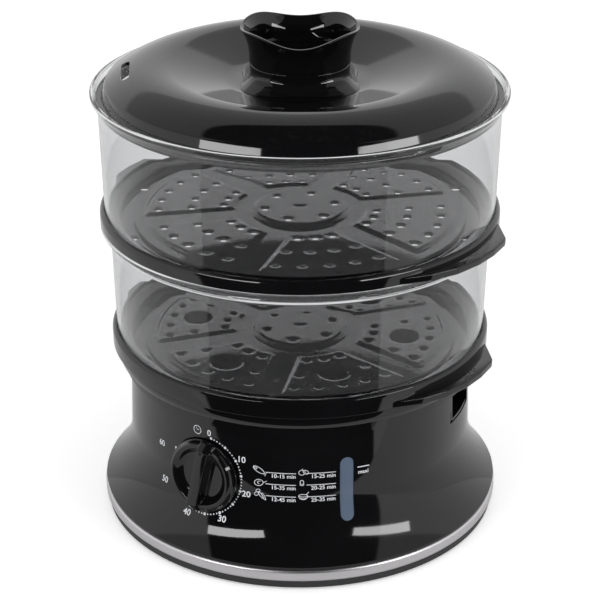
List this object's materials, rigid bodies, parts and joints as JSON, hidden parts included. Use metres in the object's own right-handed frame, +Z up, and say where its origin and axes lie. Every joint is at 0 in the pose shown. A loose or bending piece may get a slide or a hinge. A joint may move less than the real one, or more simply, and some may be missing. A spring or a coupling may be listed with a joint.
{
  "type": "electric food steamer",
  "caption": "Electric food steamer: timer base with water tank and level window, juice collector, stacked clear bowls with lift-out grids, dished lid with cup handle.",
  "frame": {"origin": "centre of the standing surface, under the middle of the round base", "axes": "+Z up; -Y is the front, between the timer knob and the water level window; +X to the right as seen from the front"},
  "size_m": [0.256, 0.256, 0.3169],
  "materials": {
    "black_gloss": "high-gloss black polypropylene",
    "black_soft": "satin black polypropylene",
    "clear_bowl": "clear injection-moulded plastic, slightly smoked by steam",
    "silver_trim": "satin silver band",
    "screw_steel": "zinc-plated steel",
    "foot_rubber": "black rubber",
    "window_tint": "translucent blue-grey plastic",
    "seal_rubber": "red silicone rubber",
    "heater_alloy": "die-cast, non-stick grey",
    "element_steel": "heat-tinted stainless tube",
    "case_resin": "off-white heat-resistant resin",
    "wire_brown": "brown silicone insulation",
    "wire_red": "red glass-fibre sleeve",
    "wire_blue": "blue silicone insulation",
    "wire_earth": "green and yellow silicone insulation"
  },
  "bodies": {
    "base": {"base_housing": "black_gloss", "trim_ring": "silver_trim", "bottom_plate": "black_soft", "rubber_feet": "foot_rubber", "base_screws": "screw_steel", "water_tank": "black_gloss", "tank_deck": "black_gloss", "water_filler": "black_gloss", "level_window": "window_tint", "window_gasket": "seal_rubber", "timer_case": "case_resin", "timer_bell": "screw_steel", "timer_screws": "screw_steel", "heater_plate": "heater_alloy", "heater_gasket": "seal_rubber", "heater_element": "element_steel", "heater_clamp": "screw_steel", "heater_nuts": "screw_steel", "thermostat": "black_soft", "thermal_fuse": "case_resin", "fuse_clip": "screw_steel", "terminal_block": "case_resin", "block_screws": "screw_steel", "cord_gland": "foot_rubber", "live_wire": "wire_brown", "switched_wire": "wire_brown", "fuse_leads": "wire_red", "neutral_wire": "wire_blue", "earth_wire": "wire_earth"},
    "lid": {"lid_dome": "black_gloss", "lid_handle_base": "black_gloss", "lid_handle_cup": "black_gloss", "lid_handle_screws": "screw_steel"},
    "upper_grid": {"upper_grid": "black_gloss"},
    "upper_bowl": {"upper_bowl_wall": "clear_bowl", "upper_bowl_base": "black_gloss"},
    "lower_grid": {"lower_grid": "black_gloss"},
    "lower_bowl": {"lower_bowl_wall": "clear_bowl", "lower_bowl_base": "black_gloss"},
    "juice_collector": {"juice_collector": "black_gloss", "collector_wall": "black_gloss", "collector_floor": "black_gloss", "collector_chimney": "black_gloss"},
    "turbo_ring": {"turbo_ring": "black_soft"},
    "timer_knob": {"timer_knob": "black_gloss", "timer_shaft": "screw_steel"}
  },
  "joints": [
    {"name": "turbo_ring_lift", "type": "slide", "parent": "base", "child": "turbo_ring", "axis": [0, 0, 1], "range_m": [0, 0.09]},
    {"name": "juice_collector_lift", "type": "slide", "parent": "turbo_ring", "child": "juice_collector", "axis": [0, 0, 1], "range_m": [0, 0.04]},
    {"name": "lower_bowl_lift", "type": "slide", "parent": "juice_collector", "child": "lower_bowl", "axis": [0, 0, 1], "range_m": [0, 0.04]},
    {"name": "lower_grid_lift", "type": "slide", "parent": "lower_bowl", "child": "lower_grid", "axis": [0, 0, 1], "range_m": [0, 0.1]},
    {"name": "upper_bowl_lift", "type": "slide", "parent": "lower_grid", "child": "upper_bowl", "axis": [0, 0, 1], "range_m": [0, 0.04]},
    {"name": "upper_grid_lift", "type": "slide", "parent": "upper_bowl", "child": "upper_grid", "axis": [0, 0, 1], "range_m": [0, 0.1]},
    {"name": "lid_lift", "type": "slide", "parent": "upper_grid", "child": "lid", "axis": [0, 0, 1], "range_m": [0, 0.05]},
    {"name": "timer_turn", "type": "hinge", "parent": "base", "child": "timer_knob", "pos_m": [-0.05872, -0.09396, 0.0617], "axis": [0.5278, 0.8447, -0.0889], "range_deg": [0, 282]}
  ]
}
